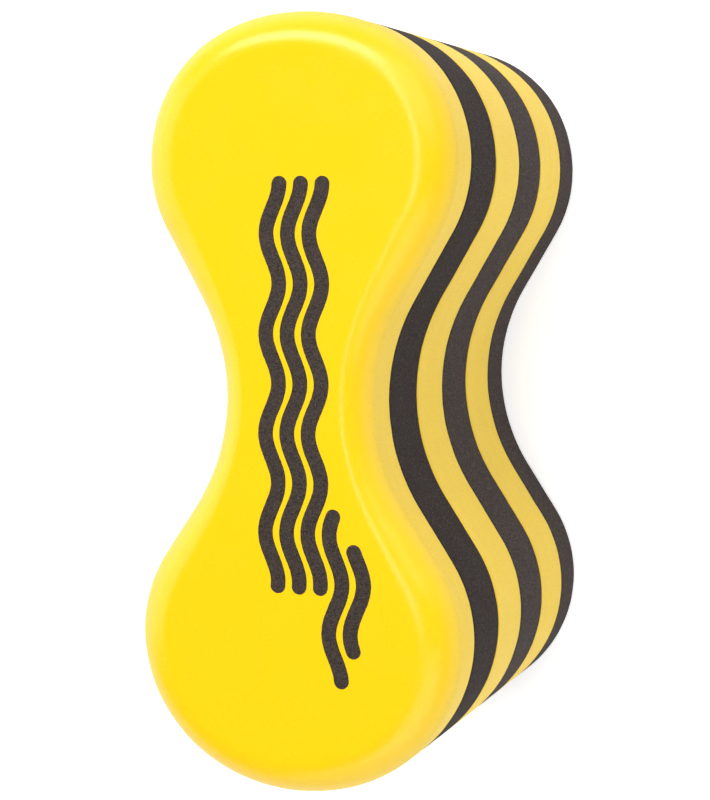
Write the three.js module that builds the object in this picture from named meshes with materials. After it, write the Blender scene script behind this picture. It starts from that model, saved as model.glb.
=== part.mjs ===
// A swimmer's pull buoy: six sheets of closed-cell foam glued face to face into a block
// with a figure-of-eight outline. It lies on its rear face, front face up.
// Millimetres. X is across the buoy, Y along it, Z up through the stack of sheets.
// The origin is on the rear face, at the middle of the outline's box.

import * as THREE from 'three';

// Outline
const LENGTH = 230;
const WIDTH = 100;
const TOP_LOBE_RADIUS = 43.7;
const BOTTOM_LOBE_RADIUS = 45.9;
const WAIST_RADIUS = 63;
const WAIST_WIDTH = 46;
const WAIST_Y = 2.2;
const WIDENING = WIDTH / (2 * BOTTOM_LOBE_RADIUS);
// How much further than a circle each lobe's outer half reaches at its diagonals
const TOP_FULLNESS = 0.02;
const BOTTOM_FULLNESS = 0.005;
const STEPS_PER_LOBE = 30;
const STEPS_PER_WAIST = 16;

// Stack, rear to front
const GLUE_THICKNESS = 0.4;
const GLUE_INSET = 0.6;
const REAR_CAP_THICKNESS = 20.4;
const SHEET_THICKNESS = 26.8;
const FRONT_CAP_THICKNESS = 22.4;

// Rounded edges: how far in across the face at the lobes and at the waist, how far down
// the side, and the superellipse's power, where 2 is an ellipse and less is nearer to a
// chamfer. The inset changes over a stretch on each side of the waist's middle.
const FRONT_EDGE = { lobeInset: 11, waistInset: 8.5, depth: 9.5, power: 1.85, steps: 7 };
const REAR_EDGE = { lobeInset: 4, waistInset: 4, depth: 3, power: 2, steps: 3 };
const WAIST_STRETCH = { near: 18, far: 52 };

// Printed waves on the front face: parallel sine lines in step with each other
const INK_THICKNESS = 0.2;
const WAVE_LINE_WIDTH = 4.6;
const WAVE_AMPLITUDE = 2;
const WAVE_LENGTH = 29;
const WAVE_SPACING = 6.6;
const MIDDLE_WAVE_X = 1;
const WAVE_STEP = 2.4;
const WAVE_END_STEPS = 6;
const WAVES = [
  { place: -1, top: 65, bottom: -52 },
  { place: 0, top: 65, bottom: -52 },
  { place: 1, top: 65, bottom: -52 },
  { place: 2, top: -31, bottom: -79 },
  { place: 3, top: -41, bottom: -70 },
];

const FOAM = { roughness: 0.82, metalness: 0 };
const yellowFoam = { ...FOAM, color: 0xf5d514 };
const blackFoam = { ...FOAM, color: 0x403838 };
const glue = { color: 0x3a2410, roughness: 0.6, metalness: 0 };
const ink = { color: 0x443c3c, roughness: 0.55, metalness: 0 };

const buoy = new THREE.Group();

function addPiece(name, geometry, finish) {
  const mesh = new THREE.Mesh(geometry, new THREE.MeshStandardMaterial(finish));
  mesh.name = name;
  buoy.add(mesh);
  return mesh;
}

// Points of an arc of a circle, with x widened so that the lobes are slightly elliptical.
// outer is 1 or -1 where the half above or below the centre is fuller than a circle.
function arcPoints(centre, radius, from, to, steps, outer = 0, fullness = 0) {
  const points = [];
  for (let i = 0; i <= steps; i += 1) {
    const angle = from + ((to - from) * i) / steps;
    const isOuter = outer * Math.sin(angle) > 0;
    const reach = radius * (isOuter ? 1 + fullness * Math.sin(2 * angle) ** 2 : 1);
    const x = (centre.x + reach * Math.cos(angle)) * WIDENING;
    points.push(new THREE.Vector2(x, centre.y + reach * Math.sin(angle)));
  }
  return points;
}

// Where the straight flank that joins a lobe to the right waist arc leaves the lobe, as an
// angle from the lobe's centre. The flank touches both circles.
function flankAngle(lobe, radius, waist) {
  const toWaist = waist.clone().sub(lobe);
  const lean = Math.acos((WAIST_RADIUS + radius) / toWaist.length());
  return Math.atan2(toWaist.y, toWaist.x) - lean * Math.sign(toWaist.y);
}

// The figure of eight, counter-clockwise: two lobes and two waist arcs, joined by flanks.
function figureOfEight() {
  const waistX = WAIST_WIDTH / 2 / WIDENING + WAIST_RADIUS;
  const top = new THREE.Vector2(0, LENGTH / 2 - TOP_LOBE_RADIUS);
  const bottom = new THREE.Vector2(0, BOTTOM_LOBE_RADIUS - LENGTH / 2);
  const right = new THREE.Vector2(waistX, WAIST_Y);
  const left = new THREE.Vector2(-waistX, WAIST_Y);
  const topAngle = flankAngle(top, TOP_LOBE_RADIUS, right);
  const bottomAngle = flankAngle(bottom, BOTTOM_LOBE_RADIUS, right);
  const turn = Math.PI;
  const lobe = (centre, radius, from, to, outer, fullness) =>
    arcPoints(centre, radius, from, to, STEPS_PER_LOBE, outer, fullness);
  return [
    ...lobe(top, TOP_LOBE_RADIUS, topAngle, turn - topAngle, 1, TOP_FULLNESS),
    ...arcPoints(left, WAIST_RADIUS, -topAngle, -bottomAngle, STEPS_PER_WAIST),
    ...lobe(bottom, BOTTOM_LOBE_RADIUS, -turn - bottomAngle, bottomAngle, -1, BOTTOM_FULLNESS),
    ...arcPoints(right, WAIST_RADIUS, turn + bottomAngle, turn + topAngle, STEPS_PER_WAIST),
  ];
}

// The same outline, moved in along its normals by distance(point).
function insetOutline(outline, distance) {
  return outline.map((point, i) => {
    const before = outline[(i + outline.length - 1) % outline.length];
    const after = outline[(i + 1) % outline.length];
    const along = after.clone().sub(before).normalize();
    const inward = new THREE.Vector2(-along.y, along.x);
    return point.clone().addScaledVector(inward, distance(point));
  });
}

// A closed solid from rings of equal point counts, listed from the lowest up.
function solidFromRings(rings) {
  const count = rings[0].outline.length;
  const positions = rings.flatMap(({ outline, z }) => outline.flatMap((p) => [p.x, p.y, z]));
  const faces = [];
  for (let ring = 0; ring + 1 < rings.length; ring += 1) {
    for (let i = 0; i < count; i += 1) {
      const next = (i + 1) % count;
      const [a, b] = [ring * count + i, ring * count + next];
      faces.push(a, b, b + count, a, b + count, a + count);
    }
  }
  const last = rings.length - 1;
  for (const [a, b, c] of THREE.ShapeUtils.triangulateShape(rings[0].outline, [])) {
    faces.push(a, c, b);
  }
  for (const [a, b, c] of THREE.ShapeUtils.triangulateShape(rings[last].outline, [])) {
    faces.push(last * count + a, last * count + b, last * count + c);
  }
  const geometry = new THREE.BufferGeometry();
  geometry.setAttribute('position', new THREE.Float32BufferAttribute(positions, 3));
  geometry.setIndex(faces);
  geometry.computeVertexNormals();
  return geometry;
}

// How far in a rounded edge reaches at height y: less at the waist than at the lobes.
function edgeInset(edge, y) {
  const { near, far } = WAIST_STRETCH;
  const share = THREE.MathUtils.smoothstep(Math.abs(y), near, far);
  return THREE.MathUtils.lerp(edge.waistInset, edge.lobeInset, share);
}

// Rings of a quarter-superelliptical edge that leaves the side and ends at the face at
// faceZ. inward is 1 for an edge below its face and -1 for one above it.
function roundedEdge(outline, edge, faceZ, inward) {
  const rings = [];
  for (let i = 0; i <= edge.steps; i += 1) {
    const angle = (Math.PI / 2) * (i / edge.steps);
    const across = Math.cos(angle) ** (2 / edge.power);
    const down = 1 - Math.sin(angle) ** (2 / edge.power);
    const inset = (point) => edgeInset(edge, point.y) * (1 - across);
    rings.push({ outline: insetOutline(outline, inset), z: faceZ - inward * edge.depth * down });
  }
  return inward > 0 ? rings : rings.reverse();
}

function flatSheet(outline, z, thickness) {
  return solidFromRings([
    { outline, z },
    { outline, z: z + thickness },
  ]);
}

function rearCap(outline, z) {
  const rings = roundedEdge(outline, REAR_EDGE, z, -1);
  return solidFromRings([...rings, { outline, z: z + REAR_CAP_THICKNESS }]);
}

function frontCap(outline, z) {
  const rings = roundedEdge(outline, FRONT_EDGE, z + FRONT_CAP_THICKNESS, 1);
  return solidFromRings([{ outline, z }, ...rings]);
}

// One printed wave: a line of constant width with round ends, which follows a sine along Y.
function waveLine(middleX, top, bottom, z) {
  const phase = (2 * Math.PI) / WAVE_LENGTH;
  const centre = (y) => new THREE.Vector2(middleX + WAVE_AMPLITUDE * Math.sin(phase * y), y);
  const heading = (y) => Math.atan2(1, WAVE_AMPLITUDE * phase * Math.cos(phase * y));
  const offset = (y, turn) => {
    const angle = heading(y) + turn;
    const side = new THREE.Vector2(Math.cos(angle), Math.sin(angle));
    return centre(y).addScaledVector(side, WAVE_LINE_WIDTH / 2);
  };
  const steps = Math.round((top - bottom) / WAVE_STEP);
  const quarter = Math.PI / 2;
  const points = [];
  for (let i = 0; i <= steps; i += 1) {
    points.push(offset(THREE.MathUtils.lerp(bottom, top, i / steps), -quarter));
  }
  for (let i = 1; i < WAVE_END_STEPS; i += 1) {
    points.push(offset(top, -quarter + (2 * quarter * i) / WAVE_END_STEPS));
  }
  for (let i = 0; i <= steps; i += 1) {
    points.push(offset(THREE.MathUtils.lerp(top, bottom, i / steps), quarter));
  }
  for (let i = 1; i < WAVE_END_STEPS; i += 1) {
    points.push(offset(bottom, quarter + (2 * quarter * i) / WAVE_END_STEPS));
  }
  return flatSheet(points, z, INK_THICKNESS);
}

const outline = figureOfEight();
const glueOutline = insetOutline(outline, () => GLUE_INSET);

// From the rear cap up: glue, sheet, glue, sheet and so on, then the front cap.
const sheets = [
  ['yellow_sheet_rear', yellowFoam],
  ['black_sheet_middle', blackFoam],
  ['yellow_sheet_front', yellowFoam],
  ['black_sheet_front', blackFoam],
];

addPiece('black_rear_cap', rearCap(outline, 0), blackFoam);
let stackZ = REAR_CAP_THICKNESS;

function addGlue(number) {
  addPiece(`glue_film_${number}`, flatSheet(glueOutline, stackZ, GLUE_THICKNESS), glue);
  stackZ += GLUE_THICKNESS;
}

sheets.forEach(([name, finish], i) => {
  addGlue(i + 1);
  addPiece(name, flatSheet(outline, stackZ, SHEET_THICKNESS), finish);
  stackZ += SHEET_THICKNESS;
});
addGlue(sheets.length + 1);
addPiece('yellow_front_cap', frontCap(outline, stackZ), yellowFoam);
stackZ += FRONT_CAP_THICKNESS;

WAVES.forEach(({ place, top, bottom }, i) => {
  const middleX = MIDDLE_WAVE_X + place * WAVE_SPACING;
  addPiece(`printed_wave_${i + 1}`, waveLine(middleX, top, bottom, stackZ), ink);
});

export default buoy;
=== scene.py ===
import math

import bmesh
import bpy
import numpy as np
from mathutils import Matrix, Vector, noise


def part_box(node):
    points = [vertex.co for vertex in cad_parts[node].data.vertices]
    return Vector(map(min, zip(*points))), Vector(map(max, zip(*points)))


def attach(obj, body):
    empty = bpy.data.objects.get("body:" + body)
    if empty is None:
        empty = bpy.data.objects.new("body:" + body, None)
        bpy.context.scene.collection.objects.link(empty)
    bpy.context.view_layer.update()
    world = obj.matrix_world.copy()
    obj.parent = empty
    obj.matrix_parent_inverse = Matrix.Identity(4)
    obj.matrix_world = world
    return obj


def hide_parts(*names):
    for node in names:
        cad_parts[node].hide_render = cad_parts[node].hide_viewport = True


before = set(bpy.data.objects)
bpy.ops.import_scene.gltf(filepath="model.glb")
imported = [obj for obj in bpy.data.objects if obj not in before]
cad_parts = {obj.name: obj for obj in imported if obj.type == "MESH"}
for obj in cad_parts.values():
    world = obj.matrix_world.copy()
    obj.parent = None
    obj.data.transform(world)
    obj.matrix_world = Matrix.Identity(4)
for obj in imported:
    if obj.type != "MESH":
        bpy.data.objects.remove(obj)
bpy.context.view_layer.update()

# A pull buoy of six glued foam sheets. It lies on its rear face: Z runs up through the
# stack to the front face, Y along the buoy and X across it.

# ---------------------------------------------------------------------------
# Sizes, in metres. The stack's levels come from the frame. The outline's radii
# are those of the CAD outline.
# ---------------------------------------------------------------------------

MM = 0.001
BODY = "root"

low_corner, high_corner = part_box("black_sheet_front")
LENGTH = high_corner.y - low_corner.y
WIDTH = 100 * MM
TOP_LOBE_RADIUS = 43.7 * MM
BOTTOM_LOBE_RADIUS = 45.9 * MM
WAIST_RADIUS = 63 * MM
WAIST_WIDTH = 46 * MM
WAIST_Y = 2.2 * MM
WIDENING = WIDTH / (2 * BOTTOM_LOBE_RADIUS)
TOP_FULLNESS = 0.02
BOTTOM_FULLNESS = 0.005
POINT_SPACING = 1.0 * MM
RING_SPACING = 1.15 * MM

# Each sheet's node, slot, and how light its foam is drawn
SHEETS = [
    ("black_rear_cap", "black_foam", 1.25),
    ("yellow_sheet_rear", "yellow_foam", 1.0),
    ("black_sheet_middle", "black_foam", 1.2),
    ("yellow_sheet_front", "yellow_foam", 1.0),
    ("black_sheet_front", "black_foam", 0.8),
    ("yellow_front_cap", "yellow_foam", 1.0),
]
GLUE_FILMS = [f"glue_film_{number}" for number in range(1, 6)]
WAVES = sorted(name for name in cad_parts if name.startswith("printed_wave"))
FRONT_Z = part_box("yellow_front_cap")[1].z

# Rounded edges: how far in at the lobes and at the waist, how far along the side, and
# the superellipse's power, where 2 is an ellipse and less is nearer to a chamfer. The
# inset changes over a stretch on each side of the waist's middle.
FRONT_EDGE = {"lobe": 11 * MM, "waist": 8.5 * MM, "depth": 9.5 * MM, "steps": 18, "power": 1.85}
REAR_EDGE = {"lobe": 4 * MM, "waist": 4 * MM, "depth": 3 * MM, "steps": 8, "power": 2}
SEAM_EDGE = {"lobe": 0.5 * MM, "waist": 0.5 * MM, "depth": 0.55 * MM, "steps": 3, "power": 2}
WAIST_STRETCH = (18 * MM, 52 * MM)
# Rings between a face's edge and its spine, on a face that shows and on a glued one
FACE_RINGS = 26
HIDDEN_RINGS = 3
WELD_DISTANCE = 0.02 * MM
SHORTEST_EDGE = 0.005 * MM

# Relief: how far it goes each way, and its size. Along Z the wander and the ribs change
# more slowly, by these shares of their pace across it.
CUT_WANDER = (0.16 * MM, 34 * MM)
CUT_RIBS = (0.035 * MM, 2.6 * MM)
CUT_UNEVENNESS = (0.07 * MM, 9 * MM)
CUT_GRAIN = (0.03 * MM, 2.2 * MM)
WANDER_ALONG_Z = 0.35
RIBS_ALONG_Z = 0.02
FACE_WAVES = (0.1 * MM, 34 * MM)
FACE_PEEL = (0.012 * MM, 4.5 * MM)
FACE_HIGHEST = 0.1 * MM
FACE_DROP = 0.12 * MM

# The glue's rim, from the film between the sheets out to a bead in the groove
GLUE_FILM_INSET = 1.2 * MM
GLUE_RIM_INSET = 0.62 * MM
GLUE_BEAD = 0.32 * MM
GLUE_WOBBLE = 0.06 * MM
GLUE_WOBBLE_SIZE = 5 * MM
GLUE_THINNING = 0.06 * MM
GLUE_THINNING_SIZE = 17 * MM
GLUE_HALF_HEIGHT = 0.5 * MM
GLUE_HEIGHT_CHANGE = 0.1 * MM
GLUE_BEAD_POINTS = 7

# Printed waves
INK_WIDTH = 4.6 * MM
WAVE_AMPLITUDE = 2 * MM
WAVE_LENGTH = 29 * MM
WAVE_STEP = 0.4 * MM
WAVE_END_STEPS = 16
WAVE_RINGS = 4
RAGGED_FINE = (0.05 * MM, 0.9 * MM)
RAGGED_WIDE = (0.05 * MM, 4 * MM)
# The ink's cross-section from its buried underside up: how far in, and how far above the face
INK_LEVELS = [(0, -0.05 * MM), (0, 0.02 * MM), (0.04 * MM, 0.05 * MM), (0.12 * MM, 0.065 * MM)]

# Seeds of the noises, and how far each one moves the noise along X, Y and Z. The cut's
# wander and ribs run on through every sheet. A glue film and a wave use two seeds each.
WANDER_SEED = 1
RIBS_SEED = 2
FACE_WAVES_SEED = 21
FACE_PEEL_SEED = 22
FIRST_FOAM_SEED = 31
GRAIN_SEED_STEP = 4
FIRST_GLUE_SEED = 61
FIRST_INK_SEED = 81
SEEDS_EACH = 2
SEED_SHIFT = (7.31, 3.17, 5.73)


# ---------------------------------------------------------------------------
# Outline
# ---------------------------------------------------------------------------

def arc(centre_x, centre_y, radius, start, end, outer=0, fullness=0):
    """Points of a circle's arc, with x widened to slight ellipses. outer is 1 or -1 where
    the half above or below the centre is fuller than a circle. The count of steps is
    even, so that a point lies on the arc's middle."""
    steps = 2 * round(abs(end - start) * radius / POINT_SPACING / 2)
    angles = np.linspace(start, end, steps + 1)
    full = np.where(outer * np.sin(angles) > 0, fullness, 0)
    reach = radius * (1 + full * np.sin(2 * angles) ** 2)
    x = (centre_x + reach * np.cos(angles)) * WIDENING
    return np.column_stack([x, centre_y + reach * np.sin(angles)])


def flank_angle(lobe_y, radius, waist_x):
    """Where the straight flank that touches a lobe and the right waist arc leaves the lobe,
    as an angle from the lobe's centre."""
    rise = WAIST_Y - lobe_y
    lean = math.acos((WAIST_RADIUS + radius) / math.hypot(waist_x, rise))
    return math.atan2(rise, waist_x) - math.copysign(lean, rise)


def flank(start, end):
    """Points of the straight flank between two arcs, its ends left out."""
    steps = round(math.dist(start, end) / POINT_SPACING)
    return np.linspace(start, end, steps + 1)[1:-1]


def figure_of_eight():
    """The outline, counter-clockwise: two lobes and two waist arcs, joined by flanks.
    Also the two lobes' centres along Y."""
    waist_x = WAIST_WIDTH / 2 / WIDENING + WAIST_RADIUS
    top_y = LENGTH / 2 - TOP_LOBE_RADIUS
    bottom_y = BOTTOM_LOBE_RADIUS - LENGTH / 2
    top_angle = flank_angle(top_y, TOP_LOBE_RADIUS, waist_x)
    bottom_angle = flank_angle(bottom_y, BOTTOM_LOBE_RADIUS, waist_x)
    pi = math.pi
    arcs = [
        arc(0, top_y, TOP_LOBE_RADIUS, top_angle, pi - top_angle, 1, TOP_FULLNESS),
        arc(-waist_x, WAIST_Y, WAIST_RADIUS, -top_angle, -bottom_angle),
        arc(0, bottom_y, BOTTOM_LOBE_RADIUS, -pi - bottom_angle, bottom_angle,
            -1, BOTTOM_FULLNESS),
        arc(waist_x, WAIST_Y, WAIST_RADIUS, pi + bottom_angle, pi + top_angle),
    ]
    stretches = []
    for points, following in zip(arcs, arcs[1:] + arcs[:1]):
        stretches += [points, flank(points[-1], following[0])]
    return np.concatenate(stretches), top_y, bottom_y


def outward_normals(outline):
    """The direction out of the outline at each of its points."""
    along = np.roll(outline, -1, axis=0) - np.roll(outline, 1, axis=0)
    along /= np.linalg.norm(along, axis=1)[:, None]
    return np.column_stack([along[:, 1], -along[:, 0]])


OUTLINE, TOP_CENTRE_Y, BOTTOM_CENTRE_Y = figure_of_eight()
OUTWARD = outward_normals(OUTLINE)


def at_height(xy, z):
    """Points in space over the points xy, all at height z or each at its own."""
    return np.column_stack([xy, np.broadcast_to(z, len(xy))])


def inset_ring(inset, z):
    """The outline at height z, moved in by one inset or by one for each point."""
    return at_height(OUTLINE - OUTWARD * np.broadcast_to(inset, len(OUTLINE))[:, None], z)


def noise_at(points, size, seed):
    """Smooth noise, about -1 to 1, at each of the points; size is in metres."""
    shift = Vector([seed * step for step in SEED_SHIFT])
    return np.array([noise.noise(Vector(p) / size + shift) for p in points])


def relief_at(points, relief, seed):
    """How far a relief raises each of the points."""
    height, size = relief
    return height * noise_at(points, size, seed)


# ---------------------------------------------------------------------------
# Meshes
# ---------------------------------------------------------------------------

def spine_point(points):
    """The point of the buoy's middle line, between the lobes' centres, next to each point."""
    y = np.clip(points[:, 1], BOTTOM_CENTRE_Y, TOP_CENTRE_Y)
    return np.column_stack([np.zeros(len(y)), y, points[:, 2]])


def face_rings(edge_points, count):
    """Rings that shrink from a face's edge to its spine, the last one on the spine."""
    spine = spine_point(edge_points)
    shares = [(step + 1) / count for step in range(count)]
    return [edge_points + (spine - edge_points) * share for share in shares]


def weld(mesh):
    """Join the points that meet on the spine, and drop the faces that this leaves empty."""
    work = bmesh.new()
    work.from_mesh(mesh)
    bmesh.ops.remove_doubles(work, verts=work.verts, dist=WELD_DISTANCE)
    bmesh.ops.dissolve_degenerate(work, edges=work.edges, dist=SHORTEST_EDGE)
    bmesh.ops.recalc_face_normals(work, faces=work.faces)
    work.to_mesh(mesh)
    work.free()


def mesh_from_layers(name, layers):
    """A closed mesh of rings of equal counts, whose first and last lie on the spine."""
    count = len(layers[0])
    vertices = np.concatenate(layers)
    ring = np.arange(count)
    following = (ring + 1) % count
    quads = []
    for level in range(len(layers) - 1):
        base = level * count
        quads.append(np.column_stack([
            base + ring, base + following, base + count + following, base + count + ring,
        ]))
    mesh = bpy.data.meshes.new(name)
    mesh.from_pydata(vertices.tolist(), [], np.concatenate(quads).tolist())
    piece = bpy.data.objects.new(name, mesh)
    bpy.context.scene.collection.objects.link(piece)
    weld(mesh)
    mesh.polygons.foreach_set("use_smooth", [True] * len(mesh.polygons))
    return piece


def finish_piece(piece, slot, *nodes):
    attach(piece, BODY)
    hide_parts(*nodes)
    return piece


# ---------------------------------------------------------------------------
# Foam sheets
# ---------------------------------------------------------------------------

def edge_inset(edge):
    """How far in an edge reaches at each outline point: less at the waist."""
    near, far = WAIST_STRETCH
    share = np.clip((np.abs(OUTLINE[:, 1]) - near) / (far - near), 0, 1)
    share = share * share * (3 - 2 * share)
    return edge["waist"] + (edge["lobe"] - edge["waist"]) * share


def edge_rings(edge, face_z, inward):
    """Rings of a rounded edge from the side to the face; inward is 1 below the face."""
    rings = []
    power = 2 / edge["power"]
    for step in range(edge["steps"] + 1):
        angle = math.pi / 2 * step / edge["steps"]
        inset = edge_inset(edge) * (1 - max(math.cos(angle), 0) ** power)
        z = face_z - inward * edge["depth"] * (1 - math.sin(angle) ** power)
        rings.append(inset_ring(inset, z))
    return rings if inward > 0 else rings[::-1]


def wall_rings(low_z, high_z):
    """Rings of the cut side wall between two edges, their ends left out."""
    count = max(2, round((high_z - low_z) / RING_SPACING))
    return [inset_ring(0, low_z + (high_z - low_z) * i / count) for i in range(1, count)]


def cut_relief(points, seed):
    """How far the cut side stands out or in: the blade's slow wander, its fine ribs
    along Z, which run on through every sheet, and each foam's own unevenness."""
    wander = relief_at(points * [1, 1, WANDER_ALONG_Z], CUT_WANDER, WANDER_SEED)
    ribs = relief_at(points * [1, 1, RIBS_ALONG_Z], CUT_RIBS, RIBS_SEED)
    uneven = relief_at(points, CUT_UNEVENNESS, seed)
    grain = relief_at(points, CUT_GRAIN, seed + GRAIN_SEED_STEP)
    return wander + ribs + uneven + grain


def face_relief(points):
    """How far down the front face lies at each point: slow waves and a fine orange peel.
    It is never above the face's level."""
    flat = points * [1, 1, 0]
    slow = relief_at(flat, FACE_WAVES, FACE_WAVES_SEED)
    peel = relief_at(flat, FACE_PEEL, FACE_PEEL_SEED)
    return np.minimum(slow + peel, FACE_HIGHEST) - FACE_DROP


def build_sheet(name, slot, seed):
    """A foam sheet with its cut side, its edges and its two faces. Only the front cap's top
    edge and the rear cap's bottom edge are rounded wide."""
    low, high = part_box(name)
    is_rear = name == SHEETS[0][0]
    is_front = name == SHEETS[-1][0]
    bottom_edge = REAR_EDGE if is_rear else SEAM_EDGE
    top_edge = FRONT_EDGE if is_front else SEAM_EDGE
    rings = edge_rings(bottom_edge, low.z, -1)
    rings += wall_rings(low.z + bottom_edge["depth"], high.z - top_edge["depth"])
    rings += edge_rings(top_edge, high.z, 1)

    outward = at_height(OUTWARD, 0)
    sides = [points + outward * cut_relief(points, seed)[:, None] for points in rings]
    bottom = face_rings(sides[0], FACE_RINGS if is_rear else HIDDEN_RINGS)[::-1]
    top = face_rings(sides[-1], FACE_RINGS if is_front else HIDDEN_RINGS)
    layers = bottom + sides + top
    if is_front:
        # The face's relief fades out down the rounded edge.
        for layer in layers:
            height = (layer[:, 2] - (high.z - FRONT_EDGE["depth"])) / FRONT_EDGE["depth"]
            layer[:, 2] += face_relief(layer) * np.clip(height, 0, 1) ** 2
    piece = mesh_from_layers(name.replace("sheet", "foam").replace("cap", "foam_cap"), layers)
    return finish_piece(piece, slot, name)


# ---------------------------------------------------------------------------
# Glue films
# ---------------------------------------------------------------------------

def build_glue(name, seed):
    """A film of glue between two sheets, which swells to a bead in the groove at its rim."""
    low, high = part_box(name)
    middle = (low.z + high.z) / 2
    rim = at_height(OUTLINE, middle)
    wobble = noise_at(rim, GLUE_WOBBLE_SIZE, seed)
    thin = noise_at(rim, GLUE_THINNING_SIZE, seed + 1)
    bead = []
    for share in np.linspace(-1, 1, GLUE_BEAD_POINTS):
        swell = math.sqrt(max(0.0, 1 - share * share))
        inset = GLUE_RIM_INSET - swell * (GLUE_BEAD + GLUE_WOBBLE * wobble) + GLUE_THINNING * thin
        z = middle + share * (GLUE_HALF_HEIGHT + GLUE_HEIGHT_CHANGE * thin)
        bead.append(inset_ring(inset, z))
    film_low, film_high = [inset_ring(GLUE_FILM_INSET, z) for z in (low.z, high.z)]
    bottom = face_rings(film_low, HIDDEN_RINGS)[::-1]
    top = face_rings(film_high, HIDDEN_RINGS)
    layers = bottom + [film_low, *bead, film_high] + top
    piece = mesh_from_layers(name.replace("film", "line"), layers)
    return finish_piece(piece, "glue", name)


# ---------------------------------------------------------------------------
# Printed waves
# ---------------------------------------------------------------------------

def wave_outline(low, high):
    """Places along a printed wave's outline, counter-clockwise: the point of its middle
    line next to each place, and the direction from that point out to the edge."""
    middle = (low.x + high.x) / 2
    bottom, top = low.y + INK_WIDTH / 2, high.y - INK_WIDTH / 2
    y = np.linspace(bottom, top, round((top - bottom) / WAVE_STEP) + 1)
    phase = 2 * math.pi / WAVE_LENGTH
    line = np.column_stack([middle + WAVE_AMPLITUDE * np.sin(phase * y), y])
    heading = np.arctan2(1, WAVE_AMPLITUDE * phase * np.cos(phase * y))
    turns = math.pi * np.arange(1, WAVE_END_STEPS) / WAVE_END_STEPS
    right = heading - math.pi / 2
    left = heading[::-1] + math.pi / 2
    angles = np.concatenate([right, right[-1] + turns, left, left[-1] + turns])
    ends = [np.repeat(line[[index]], len(turns), axis=0) for index in (-1, 0)]
    spine = np.concatenate([line, ends[0], line[::-1], ends[1]])
    return spine, np.column_stack([np.cos(angles), np.sin(angles)])


def build_wave(name, seed):
    """A printed wave: a thin coat of ink on the front face, with a slightly ragged edge."""
    spine, outward = wave_outline(*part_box(name))
    edge = at_height(spine, 0) + at_height(outward, 0) * INK_WIDTH / 2
    ragged = relief_at(edge, RAGGED_FINE, seed) + relief_at(edge, RAGGED_WIDE, seed + 1)

    def layer(reach, lift):
        """The ring at a distance from the middle line, and at a height above the face."""
        points = at_height(spine + outward * reach[:, None], 0)
        points[:, 2] = FRONT_Z + face_relief(points) + lift
        return points

    half_width = INK_WIDTH / 2 + ragged
    sides = [layer(half_width - inset, lift) for inset, lift in INK_LEVELS]
    shrinking = [1 - (step + 1) / WAVE_RINGS for step in range(WAVE_RINGS)]
    low_lift = INK_LEVELS[0][1]
    top_inset, top_lift = INK_LEVELS[-1]
    below = [layer(half_width * share, low_lift) for share in reversed(shrinking)]
    above = [layer((half_width - top_inset) * share, top_lift) for share in shrinking]
    piece = mesh_from_layers(name.replace("printed", "ink"), below + sides + above)
    return finish_piece(piece, "ink", name)


# ---------------------------------------------------------------------------
# Materials
# ---------------------------------------------------------------------------

# The Mix node's colour sockets, which share their names with its other sockets
MIX_FIRST = 6
MIX_SECOND = 7
MIX_RESULT = 2

# Most of a noise texture's values lie in this span, and those of a rough one in the next.
NOISE_SPAN = (0.3, 0.7)
GRAIN_SPAN = (0.25, 0.75)


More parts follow.
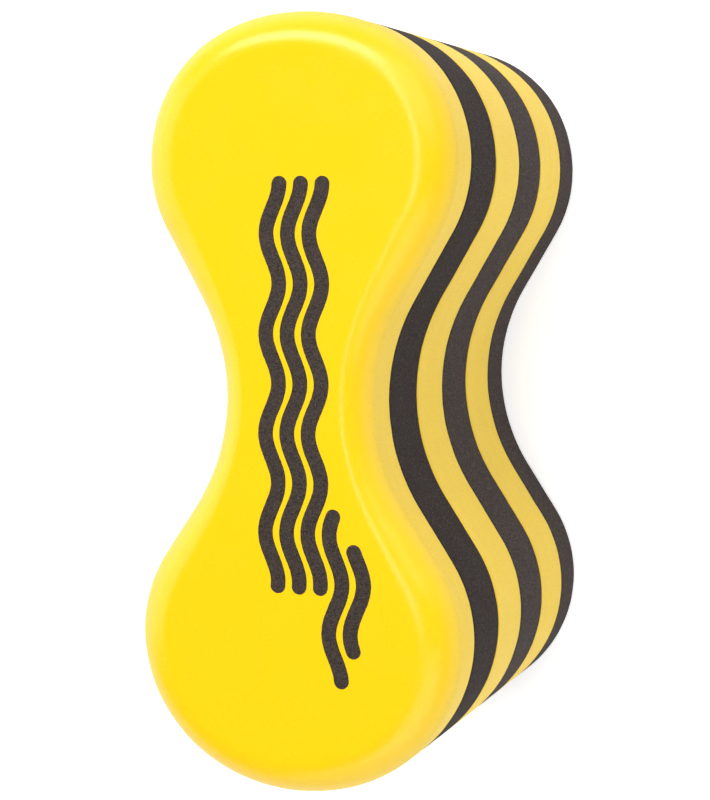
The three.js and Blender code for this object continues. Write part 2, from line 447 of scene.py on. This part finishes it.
class Paint:
    """A Principled material with short calls for its nodes. Scales are per metre. A value
    is another node's output, a number, or a colour of three numbers."""

    def __init__(self, name):
        self.material = bpy.data.materials.new(name)
        self.material.use_nodes = True
        self.tree = self.material.node_tree
        self.shader = self.tree.nodes["Principled BSDF"]
        self.place = self.tree.nodes.new("ShaderNodeTexCoord").outputs["Object"]

    def feed(self, socket, value):
        if isinstance(value, bpy.types.NodeSocket):
            self.tree.links.new(value, socket)
        elif socket.type == "RGBA":
            socket.default_value = (*value, 1)
        else:
            socket.default_value = value

    def node(self, kind, inputs):
        """A new node, with its inputs given by name or index."""
        node = self.tree.nodes.new(kind)
        for key, value in inputs.items():
            self.feed(node.inputs[key], value)
        return node

    def set(self, socket, value):
        """Give one of the shader's own sockets a value."""
        self.feed(self.shader.inputs[socket], value)

    def stretched(self, scale):
        inputs = {"Vector": self.place, "Scale": scale}
        return self.node("ShaderNodeMapping", inputs).outputs["Vector"]

    def noise(self, scale, detail, rough=0.5, where=None):
        inputs = {
            "Vector": where or self.place, "Scale": scale, "Detail": detail, "Roughness": rough,
        }
        return self.node("ShaderNodeTexNoise", inputs).outputs["Fac"]

    def cells(self, scale):
        """The distance to the nearest of many scattered points."""
        inputs = {"Vector": self.place, "Scale": scale}
        return self.node("ShaderNodeTexVoronoi", inputs).outputs["Distance"]

    def spread(self, value, low, high, out_low=0.0, out_high=1.0):
        """A value's span from low to high, moved to the span from out_low to out_high."""
        inputs = {
            "Value": value, "From Min": low, "From Max": high,
            "To Min": out_low, "To Max": out_high,
        }
        return self.node("ShaderNodeMapRange", inputs).outputs["Result"]

    def swing(self, value, middle, reach):
        """A noise that swings by reach on each side of the middle."""
        return self.spread(value, *NOISE_SPAN, middle - reach, middle + reach)

    def math(self, operation, first, second):
        node = self.node("ShaderNodeMath", {0: first, 1: second})
        node.operation = operation
        return node.outputs["Value"]

    def scaled(self, colour, factor):
        """A colour times a factor that varies over the surface."""
        node = self.tree.nodes.new("ShaderNodeVectorMath")
        node.operation = "SCALE"
        self.feed(node.inputs[0], colour)
        self.feed(node.inputs["Scale"], factor)
        return node.outputs["Vector"]

    def ramp(self, value, low, high):
        """Colours from low to high, each with the value where it starts."""
        node = self.node("ShaderNodeValToRGB", {"Fac": value})
        for element, (position, colour) in zip(node.color_ramp.elements, (low, high)):
            element.position = position
            element.color = (*colour, 1)
        return node.outputs["Color"]

    def mix(self, share, first, second):
        """Colours mixed from the first to the second by share."""
        node = self.tree.nodes.new("ShaderNodeMix")
        node.data_type = "RGBA"
        self.feed(node.inputs["Factor"], share)
        self.feed(node.inputs[MIX_FIRST], first)
        self.feed(node.inputs[MIX_SECOND], second)
        return node.outputs[MIX_RESULT]

    def facing_up(self):
        """How far the surface faces up: 1 where it lies flat and 0 where it is upright."""
        normal = self.tree.nodes.new("ShaderNodeNewGeometry").outputs["Normal"]
        return self.node("ShaderNodeSeparateXYZ", {"Vector": normal}).outputs["Z"]

    def bump(self, layers):
        """Bump from (height, distance in metres) layers, one on top of another."""
        below = None
        for height, distance in layers:
            inputs = {"Strength": 1.0, "Distance": distance, "Height": height}
            if below is not None:
                inputs["Normal"] = below
            below = self.node("ShaderNodeBump", inputs).outputs["Normal"]
        self.set("Normal", below)


# Foam textures: noises as scale, detail and, where it isn't 0.5, roughness; the scales of
# the cells; and rims, the values between which a pore or a glint begins
BLOTCHES = (22, 4, 0.55)
STREAKS = (1, 3)
STREAK_SCALES = (35, 35, 210)
GRAIN = (1300, 5, 0.85)
GLINTS = (1500, 1)
WEAR = (60, 5, 0.6)
LUMPS = (180, 3)
CELL_SCALE = 2300
PORE_SCALE = 800
PORE_RIM = (0.07, 0.14)
GLINT_RIM = (0.64, 0.72)
BLOTCH_CONTRAST = 0.02
STREAK_CONTRAST = 0.02
WEAR_REACH = 0.03
LUMP_DEPTH = 0.10 * MM
CELL_DEPTH = 0.07 * MM
GRAIN_DEPTH = 0.06 * MM
PORE_DEPTH = 0.06 * MM

# How far the surface faces up where the skin starts to fade, and where the foam is all
# ground. This fade is partly the real change from skin to ground foam, and partly painted
# shade that darkens the surface as it turns from the lamps above. The skin is glossier,
# and shows a share of the ground foam's relief.
SKIN_FADES_INTO_SHADE = 0.9
ALL_GROUND_AND_SHADE = 0.18
SKIN_FRAY = 0.03
SKIN_BLOTCHES = 0.005
SKIN_GLOSS = -0.33
SKIN_RELIEF = 0.06

FOAMS = {
    "yellow_foam": {
        "cut": (0.74, 0.505, 0.012), "pore_shade": (0.60, 0.38, 0.01), "grain_contrast": 0.14,
        "roughness": 0.6, "specular": 0.5, "specks": 0.06, "skin": (0.97, 0.622, 0.0005),
    },
    "black_foam": {
        "cut": (0.0425, 0.0333, 0.0312), "pore_shade": (0.012, 0.010, 0.010), "grain_contrast": 1.05,
        "roughness": 0.75, "specular": 0.03, "specks": 1.1,
    },
}

# Ink: a low and a high colour, each with the grain's value where it starts
INK_GRAIN = (2800, 2, 0.8)
INK_LUMPS = (300, 2)
INK_LOW = (0.38, (0.008, 0.005, 0.004))
INK_HIGH = (0.62, (0.072, 0.051, 0.041))
INK_SPECULAR = 0.3
INK_ROUGHNESS = (0.42, 0.6)
INK_DEPTH = 0.05 * MM
PINHOLE_SCALE = 900
PINHOLE_RIM = (0.05, 0.09)
PINHOLE_COLOUR = (0.30, 0.22, 0.03)

# Glue, in the same way
GLUE_LUMPS = (500, 3)
GLUE_LOW = (0.3, (0.012, 0.006, 0.003))
GLUE_HIGH = (0.7, (0.05, 0.026, 0.010))
GLUE_SPECULAR = 0.4
GLUE_ROUGHNESS = (0.3, 0.55)
GLUE_DEPTH = 0.1 * MM


def foam(name, tone, cut, grain_contrast, pore_shade, roughness, specular, specks, skin=None):
    """Closed-cell foam. A cut or ground surface is matt and shows its cells: a fine light
    and dark grain, blotches, faint streaks, light specks, and a few larger burst cells,
    painted darker with the shade in their pits.
    skin is the colour of the sheet's own smooth skin, which is left where the surface
    faces up. As the surface turns away, the colour goes over to the darker cut colour:
    partly the real ground foam, partly painted shade."""
    paint = Paint(name)
    paint.set("Specular IOR Level", specular)
    blotches = paint.noise(*BLOTCHES)
    streaks = paint.noise(*STREAKS, where=paint.stretched(STREAK_SCALES))
    grain = paint.noise(*GRAIN)
    pores = paint.spread(paint.cells(PORE_SCALE), *PORE_RIM)
    glints = paint.spread(paint.noise(*GLINTS), *GLINT_RIM, 0, specks * tone)

    grained = paint.spread(grain, *GRAIN_SPAN, -grain_contrast, grain_contrast)
    shade = paint.math("ADD", grained, paint.swing(blotches, 0, BLOTCH_CONTRAST))
    shade = paint.math("ADD", shade, paint.swing(streaks, 1, STREAK_CONTRAST))
    shade = paint.math("MULTIPLY", shade, tone)
    # Burst cells take a darker colour: painted shade in their pits.
    colour = paint.mix(pores, pore_shade, paint.scaled(cut, paint.math("ADD", shade, glints)))
    wear = paint.swing(paint.noise(*WEAR), roughness, WEAR_REACH)
    layers = [
        (paint.noise(*LUMPS), LUMP_DEPTH),
        (paint.cells(CELL_SCALE), CELL_DEPTH),
        (grain, GRAIN_DEPTH),
        (pores, PORE_DEPTH),
    ]
    # Painted shade, in part: as the surface turns from facing up, away from the lamps above, the
    # skin's colour goes over to the darker cut foam's. The rest is the real change from skin to
    # ground foam.
    if skin:
        frayed = paint.math("ADD", paint.facing_up(), paint.swing(blotches, 0, SKIN_FRAY))
        ground_and_shade = paint.spread(frayed, SKIN_FADES_INTO_SHADE, ALL_GROUND_AND_SHADE)
        smooth = paint.scaled(skin, paint.swing(blotches, 1, SKIN_BLOTCHES))
        colour = paint.mix(ground_and_shade, smooth, colour)
        wear = paint.math("ADD", wear, paint.spread(ground_and_shade, 0, 1, SKIN_GLOSS, 0))
        faint = paint.spread(ground_and_shade, 0, 1, SKIN_RELIEF, 1)
        layers = [(paint.math("MULTIPLY", height, faint), depth) for height, depth in layers]
    paint.set("Base Color", colour)
    paint.set("Roughness", wear)
    paint.bump(layers)
    return paint.material


def ink():
    """Screen-printed ink, which lets a little of the foam through where a cell is open."""
    paint = Paint("ink")
    paint.set("Specular IOR Level", INK_SPECULAR)
    grain = paint.noise(*INK_GRAIN)
    tone = paint.ramp(grain, INK_LOW, INK_HIGH)
    pinholes = paint.spread(paint.cells(PINHOLE_SCALE), *PINHOLE_RIM)
    paint.set("Base Color", paint.mix(pinholes, PINHOLE_COLOUR, tone))
    paint.set("Roughness", paint.spread(grain, *NOISE_SPAN, *INK_ROUGHNESS))
    paint.bump([(paint.noise(*INK_LUMPS), INK_DEPTH), (grain, INK_DEPTH)])
    return paint.material


def glue():
    """Dark contact adhesive in the seams, slightly shiny where it is thick."""
    paint = Paint("glue")
    paint.set("Specular IOR Level", GLUE_SPECULAR)
    lumps = paint.noise(*GLUE_LUMPS)
    paint.set("Base Color", paint.ramp(lumps, GLUE_LOW, GLUE_HIGH))
    paint.set("Roughness", paint.spread(lumps, *NOISE_SPAN, *GLUE_ROUGHNESS))
    paint.bump([(lumps, GLUE_DEPTH)])
    return paint.material


# ---------------------------------------------------------------------------
# Camera, light and floor
# ---------------------------------------------------------------------------

# The camera's angles in radians, its offset in metres, and its lens and sensor in mm
CAMERA_YAW = -0.3339
CAMERA_PITCH = 0.0833
CAMERA_ROLL = -0.0052
CAMERA_OFFSET = Vector((-0.01888, -0.00262, -0.60959))
CAMERA_LENS = 94.59
CAMERA_SENSOR = 36

# Softboxes: the direction to each from the front face's middle, its distance, size and
# radiance
SOFTBOXES = [
    ("front_strip", (0.03, 0.2, 0.98), 1.5, (0.34, 1.1), 4.1),
    ("top_strip", (-0.25, 0.67, 0.67), 1.5, (1.1, 0.45), 8.2),
    ("left_softbox", (-1, 0.1, 0.45), 1.3, (1.2, 1.0), 1.5),
    ("right_high_softbox", (0.45, 0.6, 0.65), 1.5, (1.2, 1.2), 1.6),
    ("right_low_softbox", (0.45, -0.6, 0.65), 1.5, (1.2, 1.2), 1.6),
    ("low_softbox", (0.1, -1, 0.4), 1.3, (1.2, 0.8), 1.0),
]

# The world's strength at the horizon and overhead, and the height where it has faded, as
# the sine of the angle above the horizon
HORIZON_STRENGTH = 1.0
ZENITH_STRENGTH = 0.15
HORIZON_HEIGHT = 0.4
WHITE = (1, 1, 1)

FLOOR_SIDE = 8.0
FLOOR_SPOTS = (3, 2)
FLOOR_LOW = (0, (0.93, 0.93, 0.93))
FLOOR_HIGH = (1, (0.95, 0.95, 0.95))
FLOOR_ROUGHNESS = 0.85
FLOOR_SPECULAR = 0.1
# The floor's glow near the buoy and far out, and the distances between which it rises
NEAR_GLOW = 0.46
FAR_GLOW = 0.95
GLOW_RISES = (0.7, 2.4)


def make_camera():
    """The camera looks down at the front face, from its right. The angles turn the buoy
    into the camera's axes, and the offset is the front face's middle in those axes."""
    turn = (
        Matrix.Rotation(CAMERA_ROLL, 3, "Z")
        @ Matrix.Rotation(CAMERA_PITCH, 3, "X")
        @ Matrix.Rotation(CAMERA_YAW, 3, "Y")
    )
    data = bpy.data.cameras.new("camera")
    data.lens = CAMERA_LENS
    data.sensor_width = CAMERA_SENSOR
    camera = bpy.data.objects.new("camera", data)
    place = Vector((0, 0, FRONT_Z)) - turn.transposed() @ CAMERA_OFFSET
    camera.matrix_world = Matrix.Translation(place) @ turn.transposed().to_4x4()
    bpy.context.scene.collection.objects.link(camera)
    bpy.context.scene.camera = camera


def make_softbox(name, direction, distance, size, radiance):
    """A rectangular softbox that faces the front face's middle."""
    data = bpy.data.lights.new(name, "AREA")
    data.shape = "RECTANGLE"
    data.size, data.size_y = size
    data.energy = radiance * math.pi * size[0] * size[1]
    lamp = bpy.data.objects.new(name, data)
    away = Vector(direction).normalized()
    across = Vector((0, 1, 0)).cross(away).normalized()
    turn = Matrix((across, away.cross(across), away)).transposed()
    place = Vector((0, 0, FRONT_Z)) + away * distance
    lamp.matrix_world = Matrix.Translation(place) @ turn.to_4x4()
    lamp.visible_camera = False
    bpy.context.scene.collection.objects.link(lamp)


def make_world():
    """A studio that is white around the horizon and dim overhead."""
    world = bpy.data.worlds.new("studio")
    world.use_nodes = True
    tree = world.node_tree
    direction = tree.nodes.new("ShaderNodeTexCoord").outputs["Generated"]
    height = tree.nodes.new("ShaderNodeSeparateXYZ")
    fade = tree.nodes.new("ShaderNodeMapRange")
    fade.interpolation_type = "SMOOTHSTEP"
    fade.inputs["From Max"].default_value = HORIZON_HEIGHT
    fade.inputs["To Min"].default_value = HORIZON_STRENGTH
    fade.inputs["To Max"].default_value = ZENITH_STRENGTH
    tree.links.new(direction, height.inputs["Vector"])
    tree.links.new(height.outputs["Z"], fade.inputs["Value"])
    tree.links.new(fade.outputs["Result"], tree.nodes["Background"].inputs["Strength"])
    tree.nodes["Background"].inputs["Color"].default_value = (*WHITE, 1)
    bpy.context.scene.world = world


def make_floor():
    """A white floor that glows a little, more so far out, where the lamps hardly reach."""
    mesh = bpy.data.meshes.new("floor")
    half = FLOOR_SIDE / 2
    corners = [(-half, -half, 0), (half, -half, 0), (half, half, 0), (-half, half, 0)]
    mesh.from_pydata(corners, [], [(0, 1, 2, 3)])
    floor = bpy.data.objects.new("floor", mesh)
    bpy.context.scene.collection.objects.link(floor)
    paint = Paint("floor")
    paint.set("Roughness", FLOOR_ROUGHNESS)
    paint.set("Specular IOR Level", FLOOR_SPECULAR)
    paint.set("Base Color", paint.ramp(paint.noise(*FLOOR_SPOTS), FLOOR_LOW, FLOOR_HIGH))
    paint.set("Emission Color", WHITE)
    length = paint.node("ShaderNodeVectorMath", {0: paint.place})
    length.operation = "LENGTH"
    glow = paint.spread(length.outputs["Value"], *GLOW_RISES, NEAR_GLOW, FAR_GLOW)
    paint.set("Emission Strength", glow)
    mesh.materials.append(paint.material)


# ---------------------------------------------------------------------------
# Build
# ---------------------------------------------------------------------------

bpy.context.scene.view_settings.view_transform = "Standard"
make_camera()
make_world()
make_floor()
for softbox in SOFTBOXES:
    make_softbox(*softbox)

for number, (name, slot, tone) in enumerate(SHEETS):
    piece = build_sheet(name, slot, FIRST_FOAM_SEED + number)
    piece.data.materials.append(foam(f"{name}_finish", tone, **FOAMS[slot]))

glue_finish = glue()
for number, name in enumerate(GLUE_FILMS):
    piece = build_glue(name, FIRST_GLUE_SEED + SEEDS_EACH * number)
    piece.data.materials.append(glue_finish)

ink_finish = ink()
for number, name in enumerate(WAVES):
    piece = build_wave(name, FIRST_INK_SEED + SEEDS_EACH * number)
    piece.data.materials.append(ink_finish)
